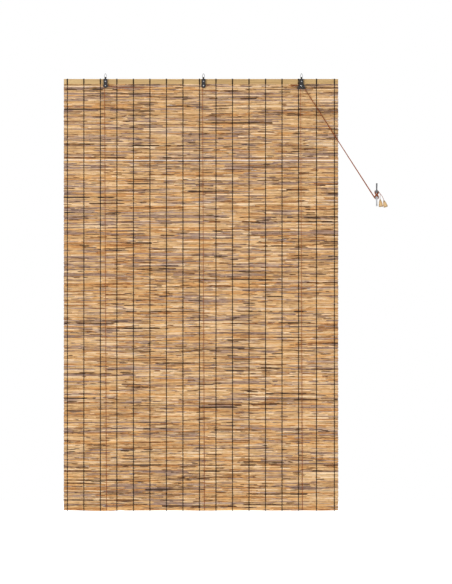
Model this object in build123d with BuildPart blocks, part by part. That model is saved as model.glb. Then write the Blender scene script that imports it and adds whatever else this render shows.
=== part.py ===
from build123d import *
import os
from math import acos, atan, atan2, cos, hypot, pi, radians, sin, tan

os.makedirs("parts", exist_ok=True)

# Overall sizes of the blind as it hangs let down
mat_width = 1400.0
blind_height = 2200.0
left_hanger_inset = 212.5
right_hanger_inset = 187.5

# Gaps between pieces, and how far a cut runs past what it cuts
seat_gap = 0.3
running_gap = 0.05
overrun = 30.0

# Head rail, a flat lath
rail_height = 26.0
rail_depth = 10.4
rail_round = 2.0

# Reed mat: rows of ridges that share one thin web
reed_rows = 280
mat_depth = 7.2
web_depth = 2.2
crest_start_share = 0.3
pitch_shares = (1.0, 0.86, 1.12, 0.94, 1.08, 0.9, 1.1)
crest_shares = (1.0, 0.9, 0.97, 0.84, 1.0)
slit_count = 104
slit_margin_rows = 5
slit_bay_step = 7
slit_height = 0.9
slit_length_shares = (0.5, 0.66, 0.8)

# Warp threads that tie the reeds, with a bolder wrap on the rail and knotted ends
thread_counts = (3, 6, 6, 2)
thread_insets = {"left": 17.6, "right": 19.2}
thread_leads = {"left": 26.3, "centre": 20.5, "right": 14.7}
thread_follows = {"left": 58.0, "centre": 63.8, "right": 76.8}
thread_width = 3.2
thread_depth = 1.1
thread_gap = 0.2
thread_jog = 3.0
wrap_width = 4.6
thread_tail = 5.0

# Folded hanger housings
sheet = 1.2
cheek_gap = 11.0
eye_rise = 10.2
neck_width = 8.4
housing_width = 20.0
housing_end_radius = 11.7
shoulder_round = 2.0
axle_drop = 35.0
screw_drop = 12.8

# Cord lock housing, which flares towards its foot
lock_width = 21.0
lock_foot_width = 42.0
lock_flare_drop = 25.5
lock_lip_drop = 48.0
lock_foot_drop = 51.0
lock_flare_round = 14.0

# Wire hanging rings
wire_diameter = 2.2
ring_half_width = 5.65
ring_shoulder = 8.2
ring_apex = 22.9
ring_corner_radius = 2.0
ring_shoulder_radius = 6.0
ring_apex_radius = 2.0
ring_joint_gap = 0.2

# Cords, wheels and axles
cord_diameter = 2.4
cord_lane = 2.7
wheel_pitch_radius = 4.8
wheel_radius = 6.4
wheel_float = 0.4
groove_flare = 1.6
axle_radius = 1.6
axle_head_radius = 3.0
axle_head_height = 1.4
axle_tail_radius = 2.4
axle_tail_height = 0.8

# Mounting screws and the bushes that keep the cheeks apart
screw_radius = 1.5
screw_head_radius = 3.1
screw_head_height = 1.6
screw_slot_width = 0.8
screw_slot_depth = 0.7
screw_bite = 8.0
screw_point = 2.4
bush_radius = 3.0

# Locking roller, its pin and the guide rivet
roller_radius = 3.0
roller_tooth_depth = 0.5
roller_teeth = 14
roller_pin_radius = 1.2
roller_pin_head_radius = 2.0
roller_pin_head_height = 0.5
roller_travel = 3.5
roller_slant = 20.0
guide_radius = 1.5
guide_head_radius = 2.2
guide_head_height = 0.5

# Staples for the cord ends on the back of the rail
staple_wire = 1.2
staple_leg = 6.0
staple_drop = 14.0
knot_radius = 2.3
knot_length = 5.0
knot_drop = 7.0

# Cord runs: sideways drift of a front run, the level runs and where they pass through the mat
cord_drift = 10.0
side_run = 14.0
dip_run = 32.0
stub_run = 20.0
pass_run = 18.0
pass_length = 20.0
pass_height = 3.1
left_pass_bay = 5
centre_pass_inset = 31.0
lock_pass_inset = 62.0
lock_entry = 14.0
arc_share = 0.98
run_share = 0.45

# Cleat on the wall, and the cord wound on it
wall_gap = 1.0
cleat_place = 883.7
cleat_drop = 591.0
cleat_length = 117.0
cleat_width = 13.0
horn_width = 9.2
horn_tip_width = 7.8
horn_clear = 17.5
horn_depth = 9.0
horn_tip_depth = 6.5
horn_rise = 6.0
pillar_height = 28.0
foot_height = 38.0
foot_depth = 4.0
throat_radius = 3.0
cleat_round = 1.0
hole_radius = 2.1
hole_spacing = 16.0
sink_radius = 4.0
winding_radius = 3.2
winding_gap = 0.8
crossing_height = 12.0

# Tassels
tassel_radius = 11.0
tassel_top_radius = 3.6
tassel_top_round = 1.2
tassel_rim = 5.0
tassel_foot_round = 2.0
tassel_bore_radius = 1.5
tassel_sink_radius = 4.2
tassel_sink_depth = 12.0
tassel_knot_radius = 3.2
tassel_knot_length = 5.0
tassel_lengths = {"a": 38.6, "b": 36.2}
tassel_leans = {"a": 6.8, "b": 16.4}
bell_shares = ((0.4, 0.28), (0.72, 0.58))

# Routes of the two tails, from the winding to the tassel's top, from the middle of the cleat at the wall
tail_routes = {
    "a": [(13.1, -16.0, 13.4), (19.0, -16.0, 3.5), (17.0, -16.0, -9.0), (17.9, -16.0, -23.5)],
    "b": [
        (13.1, -20.5, 12.2),
        (20.4, -20.5, 2.8),
        (27.6, -20.5, -6.8),
        (33.1, -20.5, -17.6),
        (36.7, -20.5, -28.6),
    ],
}

# Places that follow from the sizes, with the origin where the hook bears in the centre ring
wire_radius = wire_diameter / 2
cord_radius = cord_diameter / 2
half_housing = cheek_gap / 2 + sheet
apex_lean = atan(ring_half_width / (ring_apex - ring_shoulder))
ring_bearing = ring_apex - ring_apex_radius / sin(apex_lean) + ring_apex_radius - wire_radius
bar_rise = eye_rise - sheet - wire_radius - seat_gap
bar_z = -ring_bearing
rail_top = bar_z - bar_rise
rail_bottom = rail_top - rail_height
mat_bottom = rail_top - blind_height
hanger_pitch = (mat_width - left_hanger_inset - right_hanger_inset) / 2
mat_left = -hanger_pitch - left_hanger_inset
rail_front = half_housing
mat_plane = rail_front + rail_depth / 2
axle_z = rail_top - axle_drop
screw_z = rail_top - screw_drop
wheel_length = cheek_gap - 2 * wheel_float
hanger_places = {"left": -hanger_pitch, "centre": 0, "right": hanger_pitch}
lock_place = hanger_places["right"]
span_starts = [mat_left + thread_insets["left"]]
span_starts += [x + thread_follows[side] for side, x in hanger_places.items()]
span_ends = [x - thread_leads[side] for side, x in hanger_places.items()]
span_ends.append(mat_left + mat_width - thread_insets["right"])
thread_places = []
for count, first, last in zip(thread_counts, span_starts, span_ends):
    thread_places += [first + (last - first) * i / (count - 1) for i in range(count)]
thread_face = mat_depth / 2 + thread_gap + thread_depth
front_lane = mat_plane - thread_face - seat_gap - cord_radius
back_lane = mat_plane + rail_depth / 2 + seat_gap + knot_radius
cross_lane = back_lane + cord_diameter + seat_gap
wall = cross_lane + cord_radius + wall_gap
cleat_z = rail_top - cleat_drop

# Heights of the valleys between the reeds, from the rail down
row_shares = [pitch_shares[i % len(pitch_shares)] for i in range(reed_rows)]
row_unit = (rail_bottom - mat_bottom) / sum(row_shares)
valleys = [rail_bottom - row_unit * sum(row_shares[:i]) for i in range(reed_rows + 1)]
lane_levels = {"centre": valleys[1], "left": valleys[2]}


# Rectangles that hang from their place
hung = (Align.CENTER, Align.MAX)


def facing_front(x, y, z):
    """A plane seen from the front: its x is the part's X and its y the part's Z."""
    return Plane(origin=(x, y, z), x_dir=(1, 0, 0), z_dir=(0, -1, 0))


def facing_side(x, y, z):
    """A plane seen from the right-hand end: its x is the part's Y and its y the part's Z."""
    return Plane(origin=(x, y, z), x_dir=(0, 1, 0), z_dir=(1, 0, 0))


def corner_radii(points, tight):
    """The largest radius that the runs allow at each corner, or the radius of what the cord goes round."""
    radii = []
    for i in range(1, len(points) - 1):
        before = Vector(*points[i]) - Vector(*points[i - 1])
        after = Vector(*points[i + 1]) - Vector(*points[i])
        half_turn = radians(before.get_angle(after)) / 2
        radii.append(tight.get(i, run_share * min(before.length, after.length) / tan(half_turn)))
    return radii


# Head rail, with holes for the hanger screws and slots for the staple legs
staple_places = [x - wheel_pitch_radius + cord_drift for x in hanger_places.values()]
staple_half = cord_radius + seat_gap + staple_wire / 2
with BuildPart() as head_rail:
    with BuildSketch(facing_side(mat_left, mat_plane, rail_top - rail_height / 2)):
        RectangleRounded(rail_depth, rail_height, rail_round)
    extrude(amount=mat_width)
    with BuildSketch(facing_front(0, rail_front, screw_z)):
        with Locations(*[(x, 0) for x in hanger_places.values()]):
            Circle(screw_radius + running_gap)
    extrude(amount=-screw_bite - seat_gap, mode=Mode.SUBTRACT)
    with BuildSketch(facing_front(0, rail_front + rail_depth, rail_top - staple_drop)):
        with Locations(*[(x + s * staple_half, 0) for x in staple_places for s in (-1, 1)]):
            Rectangle(staple_wire + 2 * running_gap, staple_wire + 2 * running_gap)
    extrude(amount=staple_leg + seat_gap, mode=Mode.SUBTRACT)
head_rail.part.label = "head_rail"
export_step(head_rail.part, "parts/head_rail.step")

# Reed mat: both faces ridged, with slits where light comes through and openings for the level cords
front_ridges = []
back_ridges = []
for i in range(reed_rows):
    crest = mat_depth / 2 * crest_shares[i % len(crest_shares)]
    row_pitch = valleys[i] - valleys[i + 1]
    for half, place in (
        (web_depth / 2, valleys[i]),
        (crest, valleys[i] - crest_start_share * row_pitch),
        (crest, valleys[i + 1] + crest_start_share * row_pitch),
    ):
        front_ridges.append((-half, place))
        back_ridges.append((half, place))
front_ridges.append((-web_depth / 2, mat_bottom))
back_ridges.append((web_depth / 2, mat_bottom))
slit_bays = []
for i in range(slit_count):
    row = slit_margin_rows + i * (reed_rows - 2 * slit_margin_rows) // slit_count
    bay = (i * slit_bay_step + i // slit_margin_rows) % (len(thread_places) - 1)
    middle = (thread_places[bay] + thread_places[bay + 1]) / 2
    clear = thread_places[bay + 1] - thread_places[bay] - thread_width
    slit_bays.append((middle, valleys[row], clear * slit_length_shares[i % len(slit_length_shares)]))
left_pass_place = (thread_places[left_pass_bay] + thread_places[left_pass_bay + 1]) / 2
lock_pass_place = lock_place - lock_pass_inset
pass_places = [
    (left_pass_place, lane_levels["left"]),
    (centre_pass_inset, lane_levels["centre"]),
    (lock_pass_place, lane_levels["left"]),
    (lock_pass_place, lane_levels["centre"]),
]
with BuildPart() as reed_mat:
    with BuildSketch(facing_side(mat_left, mat_plane, 0)):
        with BuildLine():
            Polyline(*front_ridges, *reversed(back_ridges), close=True)
        make_face()
    extrude(amount=mat_width)
    with BuildSketch(facing_front(0, mat_plane, 0)):
        for x, z, length in slit_bays:
            with Locations((x, z)):
                Rectangle(length, slit_height)
        with Locations(*pass_places):
            Rectangle(pass_length, pass_height)
    extrude(amount=mat_depth, both=True, mode=Mode.SUBTRACT)
reed_mat.part.label = "reed_mat"
export_step(reed_mat.part, "parts/reed_mat.step")

# Warp threads: closed loops round the rail and the mat, with a wider wrap on the rail
mat_half = mat_depth / 2 + thread_gap
rail_half = rail_depth / 2
with BuildPart() as warp_threads:
    for x in thread_places:
        with BuildSketch(facing_side(x, mat_plane, 0)):
            with BuildLine():
                outside = Polyline(
                    (0, rail_top + thread_depth),
                    (rail_half + thread_depth, rail_top + thread_depth),
                    (rail_half + thread_depth, rail_bottom),
                    (mat_half + thread_depth, rail_bottom - thread_jog),
                    (mat_half + thread_depth, mat_bottom - thread_gap),
                    (thread_width / 2, mat_bottom - thread_tail),
                    (0, mat_bottom - thread_tail),
                )
                mirror(outside, about=Plane.YZ)
            make_face()
            with BuildLine():
                inside = Polyline(
                    (0, rail_top),
                    (rail_half, rail_top),
                    (rail_half, rail_bottom),
                    (mat_half, rail_bottom - thread_jog),
                    (mat_half, mat_bottom - thread_gap),
                    (0, mat_bottom - thread_gap),
                )
                mirror(inside, about=Plane.YZ)
            make_face(mode=Mode.SUBTRACT)
        extrude(amount=thread_width / 2, both=True)
        with BuildSketch(facing_side(x, mat_plane, rail_top)):
            with Locations((0, thread_depth)):
                Rectangle(rail_depth + 2 * thread_depth, rail_height + thread_depth, align=hung)
            Rectangle(rail_depth, rail_height, align=hung, mode=Mode.SUBTRACT)
        extrude(amount=wrap_width / 2, both=True)
warp_threads.part.label = "warp_threads"
export_step(warp_threads.part, "parts/warp_threads.step")

# Staples that hold the cord ends on the back of the rail
rail_back = rail_front + rail_depth
staple_crown = back_lane + cord_radius + seat_gap
with BuildPart() as cord_staples:
    for x in staple_places:
        with BuildSketch(Plane.XY.offset(rail_top - staple_drop)):
            with Locations((x, staple_crown + staple_wire)):
                Rectangle(
                    2 * staple_half + staple_wire,
                    staple_crown + staple_wire - rail_back + staple_leg,
                    align=hung,
                )
            with Locations((x, staple_crown)):
                Rectangle(2 * staple_half - staple_wire, overrun, align=hung, mode=Mode.SUBTRACT)
        extrude(amount=staple_wire / 2, both=True)
cord_staples.part.label = "cord_staples"
export_step(cord_staples.part, "parts/cord_staples.step")

# Where the winding lies on the cleat, and the lanes of the cords in the lock
winding_side = cleat_width / 2 + winding_gap + winding_radius
winding_back = wall - horn_clear + winding_gap + winding_radius
winding_front = wall - horn_clear - horn_depth - winding_gap - winding_radius
winding_end = pillar_height / 2 + winding_gap + winding_radius
lanes = {"left": cord_lane, "centre": 0, "right": -cord_lane}
end_lanes = {side: lane + (winding_back + winding_front) / 2 for side, lane in lanes.items()}


def pull_line(end_lane):
    """How far a pull cord reaches from the lock's axle, and the lean that makes it tangent to the wheel."""
    back_share = (end_lane - winding_front) / (winding_back - winding_front)
    below = crossing_height + back_share * (winding_end - crossing_height)
    reach = (cleat_place - winding_side - lock_place, cleat_z - below - axle_z)
    return reach, acos(wheel_pitch_radius / hypot(*reach)) + atan2(reach[1], reach[0])


# The locking roller rises along its slots until it nips the cords against the guide rivet
pull_lean = pull_line(end_lanes["centre"])[1]
pull_way = (sin(pull_lean), -cos(pull_lean))
pull_normal = (cos(pull_lean), sin(pull_lean))
nip_reach = wheel_radius + roller_radius + 2 * seat_gap
nip_side = wheel_pitch_radius - cord_radius - seat_gap - roller_radius
nip_place = [nip_side * n + nip_reach * w for n, w in zip(pull_normal, pull_way)]
slot_angle = pull_lean - radians(roller_slant)
slot_way = (sin(slot_angle), -cos(slot_angle))
roller_rest = [p + roller_travel * w for p, w in zip(nip_place, slot_way)]
slot_middle = [p + roller_travel / 2 * w for p, w in zip(nip_place, slot_way)]
guide_side = wheel_pitch_radius + cord_radius + seat_gap + guide_radius
guide_place = [guide_side * n + nip_reach * w for n, w in zip(pull_normal, pull_way)]

# Hanger housings: one strip folded over the ring's bar, cut to the pulley's or the lock's outline
housing_names = {"left": "pulley_housing_left", "centre": "pulley_housing_centre", "right": "lock_housing"}
for side, hanger_x in hanger_places.items():
    with BuildPart() as housing:
        with BuildSketch(facing_side(hanger_x, 0, rail_top + eye_rise - half_housing)):
            Circle(half_housing)
            Rectangle(2 * half_housing, eye_rise + lock_foot_drop, align=hung)
            Circle(cheek_gap / 2, mode=Mode.SUBTRACT)
            Rectangle(cheek_gap, eye_rise + lock_foot_drop, align=hung, mode=Mode.SUBTRACT)
        extrude(amount=lock_foot_width / 2, both=True)
        with BuildSketch(facing_front(hanger_x, 0, rail_top)) as outline:
            if side == "right":
                with BuildLine():
                    edge = Polyline(
                        (0, 0),
                        (lock_width / 2, 0),
                        (lock_width / 2, -lock_flare_drop),
                        (lock_foot_width / 2, -lock_lip_drop),
                        (lock_foot_width / 2, -lock_foot_drop),
                        (0, -lock_foot_drop),
                    )
                    mirror(edge, about=Plane.YZ)
                make_face()
                waist = outline.vertices().group_by(Axis.Y)[-2]
                fillet(waist, radius=lock_flare_round)
            else:
                Rectangle(housing_width, axle_drop, align=hung)
                with Locations((0, -axle_drop)):
                    Circle(housing_end_radius)
            fillet(outline.vertices().group_by(Axis.Y)[-1], radius=shoulder_round)
            Rectangle(neck_width, eye_rise, align=(Align.CENTER, Align.MIN))
        extrude(amount=half_housing, both=True, mode=Mode.INTERSECT)
        with BuildSketch(facing_front(hanger_x, 0, rail_top)):
            with Locations((0, -axle_drop)):
                Circle(axle_radius)
            with Locations((0, -screw_drop)):
                Circle(screw_radius + running_gap)
            if side == "right":
                with Locations((guide_place[0], guide_place[1] - axle_drop)):
                    Circle(guide_radius)
                slot_turn = atan2(slot_way[1], slot_way[0]) * 180 / pi
                with Locations(Location((slot_middle[0], slot_middle[1] - axle_drop), slot_turn)):
                    SlotCenterToCenter(roller_travel, 2 * (roller_pin_radius + running_gap))
        extrude(amount=half_housing, both=True, mode=Mode.SUBTRACT)
    housing.part.label = housing_names[side]
    export_step(housing.part, f"parts/{housing_names[side]}.step")

# Hanging rings: a wire bent to a drop shape, its ends meeting inside the housing's eye
for side, hanger_x in hanger_places.items():
    with BuildPart() as ring:
        with BuildLine(facing_front(hanger_x, 0, bar_z)) as ring_line:
            FilletPolyline(
                (ring_joint_gap / 2, 0),
                (ring_half_width, 0),
                (ring_half_width, ring_shoulder),
                (0, ring_apex),
                (-ring_half_width, ring_shoulder),
                (-ring_half_width, 0),
                (-ring_joint_gap / 2, 0),
                radius=[
                    ring_corner_radius,
                    ring_shoulder_radius,
                    ring_apex_radius,
                    ring_shoulder_radius,
                    ring_corner_radius,
                ],
            )
        with BuildSketch(Plane(origin=ring_line.line @ 0, z_dir=ring_line.line % 0)):
            Circle(wire_radius)
        sweep(path=ring_line.line)
    ring.part.label = f"hanging_ring_{side}"
    export_step(ring.part, f"parts/hanging_ring_{side}.step")

# Wheels, turned with one flared groove, or with one wide groove for all the cords in the lock
wheel_names = {"left": "pulley_wheel_left", "centre": "pulley_wheel_centre", "right": "lock_wheel"}
groove_floor = wheel_pitch_radius - cord_radius - seat_gap
for side, hanger_x in hanger_places.items():
    lane_span = 2 * cord_lane if side == "right" else 0
    groove_half = (lane_span + cord_diameter) / 2 + seat_gap
    flare = 0 if side == "right" else groove_flare
    with BuildPart() as wheel:
        with BuildSketch(facing_side(hanger_x, 0, axle_z)):
            with BuildLine():
                rim = Polyline(
                    (0, axle_radius + running_gap),
                    (wheel_length / 2, axle_radius + running_gap),
                    (wheel_length / 2, wheel_radius),
                    (groove_half + flare, wheel_radius),
                    (groove_half, groove_floor),
                    (0, groove_floor),
                )
                mirror(rim, about=Plane.YZ)
            make_face()
        revolve(axis=Axis((hanger_x, 0, axle_z), (0, 1, 0)))
    wheel.part.label = wheel_names[side]
    export_step(wheel.part, f"parts/{wheel_names[side]}.step")

# Axle rivets, domed in front and peened flat behind
for side, hanger_x in hanger_places.items():
    with BuildPart() as axle:
        with BuildSketch(facing_side(hanger_x, 0, axle_z)):
            with BuildLine():
                dome = ThreePointArc(
                    (-half_housing - axle_head_height, 0),
                    (-half_housing - axle_head_height * cos(pi / 4), axle_head_radius * sin(pi / 4)),
                    (-half_housing, axle_head_radius),
                )
                Polyline(
                    dome @ 1,
                    (-half_housing, axle_radius),
                    (half_housing, axle_radius),
                    (half_housing, axle_tail_radius),
                    (half_housing + axle_tail_height, axle_tail_radius),
                    (half_housing + axle_tail_height, 0),
                    dome @ 0,
                )
            make_face()
        revolve(axis=Axis((hanger_x, 0, axle_z), (0, 1, 0)))
    axle.part.label = f"axle_rivet_{side}"
    export_step(axle.part, f"parts/axle_rivet_{side}.step")

# Mounting screws with a slotted dome head
for side, hanger_x in hanger_places.items():
    with BuildPart() as screw:
        with BuildSketch(facing_side(hanger_x, 0, screw_z)):
            with BuildLine():
                dome = ThreePointArc(
                    (-half_housing - screw_head_height, 0),
                    (-half_housing - screw_head_height * cos(pi / 4), screw_head_radius * sin(pi / 4)),
                    (-half_housing, screw_head_radius),
                )
                Polyline(
                    dome @ 1,
                    (-half_housing, screw_radius),
                    (half_housing + screw_bite - screw_point, screw_radius),
                    (half_housing + screw_bite, 0),
                    dome @ 0,
                )
            make_face()
        revolve(axis=Axis((hanger_x, 0, screw_z), (0, 1, 0)))
        with BuildSketch(facing_front(hanger_x, -half_housing - screw_head_height, screw_z)):
            Rectangle(2 * screw_head_radius, screw_slot_width)
        extrude(amount=-screw_slot_depth, mode=Mode.SUBTRACT)
    screw.part.label = f"hanger_screw_{side}"
    export_step(screw.part, f"parts/hanger_screw_{side}.step")

# Bushes on the screws that keep the cheeks apart
for side, hanger_x in hanger_places.items():
    with BuildPart() as bush:
        with BuildSketch(facing_front(hanger_x, 0, screw_z)):
            Circle(bush_radius)
            Circle(screw_radius + running_gap, mode=Mode.SUBTRACT)
        extrude(amount=cheek_gap / 2, both=True)
    bush.part.label = f"spacer_bush_{side}"
    export_step(bush.part, f"parts/spacer_bush_{side}.step")

# Locking roller with flutes, turning on its own pin
with BuildPart() as lock_roller:
    with BuildSketch(facing_front(lock_place + roller_rest[0], 0, axle_z + roller_rest[1])):
        with BuildLine():
            teeth = []
            for i in range(2 * roller_teeth):
                reach = roller_radius - roller_tooth_depth * (i % 2)
                teeth.append((reach * cos(pi * i / roller_teeth), reach * sin(pi * i / roller_teeth)))
            Polyline(*teeth, close=True)
        make_face()
        Circle(roller_pin_radius + running_gap, mode=Mode.SUBTRACT)
    extrude(amount=wheel_length / 2, both=True)
lock_roller.part.label = "lock_roller"
export_step(lock_roller.part, "parts/lock_roller.step")

# Roller pin, with a head outside each cheek
with BuildPart() as roller_pin:
    with BuildSketch(facing_front(lock_place + roller_rest[0], 0, axle_z + roller_rest[1])):
        Circle(roller_pin_radius)
    extrude(amount=half_housing + running_gap + roller_pin_head_height, both=True)
    for way in (-1, 1):
        head_y = way * (half_housing + running_gap)
        with BuildSketch(facing_front(lock_place + roller_rest[0], head_y, axle_z + roller_rest[1])):
            Circle(roller_pin_head_radius)
        extrude(amount=-way * roller_pin_head_height)
roller_pin.part.label = "lock_roller_pin"
export_step(roller_pin.part, "parts/lock_roller_pin.step")

# Guide rivet that the cords are nipped against
with BuildPart() as guide:
    with BuildSketch(facing_front(lock_place + guide_place[0], 0, axle_z + guide_place[1])):
        Circle(guide_radius)
    extrude(amount=half_housing + guide_head_height, both=True)
    for way in (-1, 1):
        head_y = way * half_housing
        with BuildSketch(facing_front(lock_place + guide_place[0], head_y, axle_z + guide_place[1])):
            Circle(guide_head_radius)
        extrude(amount=-way * guide_head_height)
guide.part.label = "lock_guide_rivet"
export_step(guide.part, "parts/lock_guide_rivet.step")

# Lift cords: from the staple down the back, under the mat, up the front and over the wheel
under = mat_bottom - seat_gap - cord_radius
hem_lane = mat_depth / 2 + seat_gap + cord_radius
wheel_top = axle_z + wheel_pitch_radius
front_pass_share = (mat_plane - front_lane) / (cross_lane - front_lane)
into_pass = pass_run * front_pass_share
out_of_pass = pass_run - into_pass
lift_routes = {}
for side, hanger_x in hanger_places.items():
    foot_x = hanger_x - wheel_pitch_radius + cord_drift
    groove = lanes["right"] if side == "right" else 0
    lift_routes[side] = [
        (foot_x, back_lane, rail_top - knot_drop),
        (foot_x, mat_plane + hem_lane, under),
        (foot_x, mat_plane - hem_lane, under),
        (hanger_x - wheel_pitch_radius, groove, wheel_top),
    ]
left_x = hanger_places["left"]
lift_routes["left"] += [
    (left_x + side_run, 0, wheel_top),
    (left_x + dip_run, front_lane, lane_levels["left"]),
    (left_pass_place - into_pass, front_lane, lane_levels["left"]),
    (left_pass_place + out_of_pass, cross_lane, lane_levels["left"]),
]
lift_routes["centre"] += [
    (side_run, 0, wheel_top),
    (stub_run, front_lane, lane_levels["centre"]),
    (centre_pass_inset + out_of_pass, cross_lane, lane_levels["centre"]),
]
for side in ("left", "centre"):
    lift_routes[side] += [
        (lock_pass_place - out_of_pass, cross_lane, lane_levels[side]),
        (lock_pass_place + into_pass, front_lane, lane_levels[side]),
        (lock_place - lock_entry, lanes[side], wheel_top),
    ]
for side in lift_routes:
    lift_routes[side].append((lock_place, lanes[side], wheel_top))
hem_arc = arc_share * hem_lane
wheel_arc = arc_share * wheel_pitch_radius
for side, points in lift_routes.items():
    radii = corner_radii(points, {1: hem_arc, 2: hem_arc, 3: wheel_arc})
    with BuildPart() as lift_cord:
        with BuildLine() as route:
            FilletPolyline(*points, radius=radii)
        with BuildSketch(Plane(origin=route.line @ 0, z_dir=route.line % 0)):
            Circle(cord_radius)
        sweep(path=route.line)
        tube_volume = lift_cord.part.volume
        with BuildSketch(Plane(origin=route.line @ 0, z_dir=route.line % 0)):
            Circle(knot_radius)
        extrude(amount=-knot_length)
    lift_cord.part.label = f"lift_cord_{side}"
    export_step(lift_cord.part, f"parts/lift_cord_{side}.step")
    print("lift", side, "radii", [round(r, 1) for r in radii], "length", round(route.wire().length))
    print("  volume over section times length", tube_volume / (pi * cord_radius**2 * route.wire().length))

# Pull cords: over the lock wheel and straight to the winding on the cleat
pull_stop = winding_radius + winding_gap
for side, lane in lanes.items():
    reach, lean = pull_line(end_lanes[side])
    points = [
        (lock_place, lane, wheel_top),
        (lock_place + wheel_pitch_radius * tan((pi / 2 - lean) / 2), lane, wheel_top),
        (
            lock_place + reach[0] - pull_stop * sin(lean),
            end_lanes[side],
            axle_z + reach[1] + pull_stop * cos(lean),
        ),
    ]
    with BuildPart() as pull_cord:
        with BuildLine() as route:
            FilletPolyline(*points, radius=[wheel_arc])
        with BuildSketch(Plane(origin=route.line @ 0, z_dir=route.line % 0)):
            Circle(cord_radius)
        sweep(path=route.line)
    pull_cord.part.label = f"pull_cord_{side}"
    export_step(pull_cord.part, f"parts/pull_cord_{side}.step")
    print("pull", side, "length", round(route.wire().length))
    tube_volume = pull_cord.part.volume
    print("  volume over section times length", tube_volume / (pi * cord_radius**2 * route.wire().length))

# Cleat: a side profile with two horns, trimmed to the outline seen from the front
under_horn = wall - horn_clear
horn_face = under_horn - horn_depth
tip_face = horn_face - horn_rise
half_length = cleat_length / 2
pillar_half = pillar_height / 2
foot_half = foot_height / 2
with BuildPart() as cleat:
    with BuildSketch(facing_side(cleat_place, 0, cleat_z)):
        with BuildLine():
            foot = Polyline(
                (wall, 0),
                (wall, foot_half),
                (wall - foot_depth, foot_half),
                (wall - foot_depth - (foot_half - pillar_half), pillar_half),
                (under_horn + throat_radius, pillar_half),
            )
            throat = RadiusArc(foot @ 1, (under_horn, pillar_half + throat_radius), throat_radius)
            belly = ThreePointArc(
                throat @ 1,
                (under_horn - horn_rise / 3, half_length * 2 / 3),
                (tip_face + horn_tip_depth, half_length - horn_tip_depth / 2),
            )
            tip = ThreePointArc(
                belly @ 1,
                (tip_face + horn_tip_depth / 2, half_length),
                (tip_face, half_length - horn_tip_depth / 2),
            )
            brow = ThreePointArc(tip @ 1, (horn_face - horn_rise / 4, half_length / 2), (horn_face, 0))
            mirror([foot, throat, belly, tip, brow], about=Plane.XZ)
        make_face()
    extrude(amount=cleat_width / 2, both=True)
    with BuildSketch(facing_front(cleat_place, 0, cleat_z)):
        with BuildLine() as outline:
            flank = Line((cleat_width / 2, 0), (cleat_width / 2, pillar_half / 2))
            waist = Spline(
                flank @ 1,
                (horn_width / 2, foot_half),
                (horn_tip_width / 2, half_length - horn_tip_width / 2),
                tangents=((0, 1), (0, 1)),
            )
            Polyline(
                waist @ 1,
                (horn_tip_width / 2, half_length + horn_tip_width),
                (0, half_length + horn_tip_width),
            )
            mirror(outline.edges(), about=Plane.YZ)
            mirror(outline.edges(), about=Plane.XZ)
        make_face()
    extrude(amount=cleat_length, both=True, mode=Mode.INTERSECT)
    rounded = cleat.edges().filter_by(Axis.X, reverse=True)
    fillet(rounded.filter_by(lambda e: e.center().Y < under_horn), radius=cleat_round)
    with Locations(facing_front(cleat_place, horn_face, cleat_z)):
        with GridLocations(0, hole_spacing, 1, 2):
            CounterSinkHole(hole_radius, sink_radius)
cleat.part.label = "cleat"
export_step(cleat.part, "parts/cleat.step")

# Winding: the cords together go behind each horn and cross in front, in a figure of eight
with BuildPart() as cord_winding:
    for way in (1, -1):
        points = [
            (cleat_place, winding_back, cleat_z + winding_end),
            (cleat_place + way * winding_side, winding_back, cleat_z + winding_end),
            (cleat_place + way * winding_side, winding_front, cleat_z + crossing_height),
            (cleat_place - way * winding_side, winding_front, cleat_z - crossing_height),
            (cleat_place - way * winding_side, winding_back, cleat_z - winding_end),
            (cleat_place, winding_back, cleat_z - winding_end),
        ]
        with BuildLine() as route:
            FilletPolyline(*points, radius=corner_radii(points, {}))
        with BuildSketch(Plane(origin=route.line @ 0, z_dir=route.line % 0)):
            Circle(winding_radius)
        sweep(path=route.line)
cord_winding.part.label = "cord_winding"
export_step(cord_winding.part, "parts/cord_winding.step")

# Tassels: turned wooden bells, bored for the cord and sunk below for its knot
tassel_lines = {}
for letter, length in tassel_lengths.items():
    lean = radians(tassel_leans[letter])
    top = Vector(cleat_place, wall, cleat_z) + Vector(*tail_routes[letter][-1])
    down = Vector(sin(lean), 0, -cos(lean))
    tassel_lines[letter] = (top, down)
    belly = tassel_radius - tassel_top_radius
    with BuildPart() as tassel:
        with BuildSketch(Plane(origin=top, x_dir=(cos(lean), 0, sin(lean)), z_dir=(0, 1, 0))):
            with BuildLine():
                neck = ThreePointArc(
                    (tassel_top_radius - tassel_top_round, 0),
                    (
                        tassel_top_radius - tassel_top_round * (1 - sin(pi / 4)),
                        tassel_top_round * (1 - cos(pi / 4)),
                    ),
                    (tassel_top_radius, tassel_top_round),
                )
                bell = Spline(
                    neck @ 1,
                    *[(tassel_top_radius + r * belly, a * (length - tassel_rim)) for r, a in bell_shares],
                    (tassel_radius, length - tassel_rim),
                    tangents=((0, 1), (0, 1)),
                )
                foot = ThreePointArc(
                    (tassel_radius, length - tassel_foot_round),
                    (
                        tassel_radius - tassel_foot_round * (1 - cos(pi / 4)),
                        length - tassel_foot_round * (1 - sin(pi / 4)),
                    ),
                    (tassel_radius - tassel_foot_round, length),
                )
                Line(bell @ 1, foot @ 0)
                Polyline(
                    foot @ 1,
                    (tassel_sink_radius, length),
                    (tassel_sink_radius, length - tassel_sink_depth),
                    (tassel_bore_radius, length - tassel_sink_depth),
                    (tassel_bore_radius, 0),
                    neck @ 0,
                )
            make_face()
        revolve(axis=Axis(top, down))
    tassel.part.label = f"tassel_{letter}"
    export_step(tassel.part, f"parts/tassel_{letter}.step")

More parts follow.
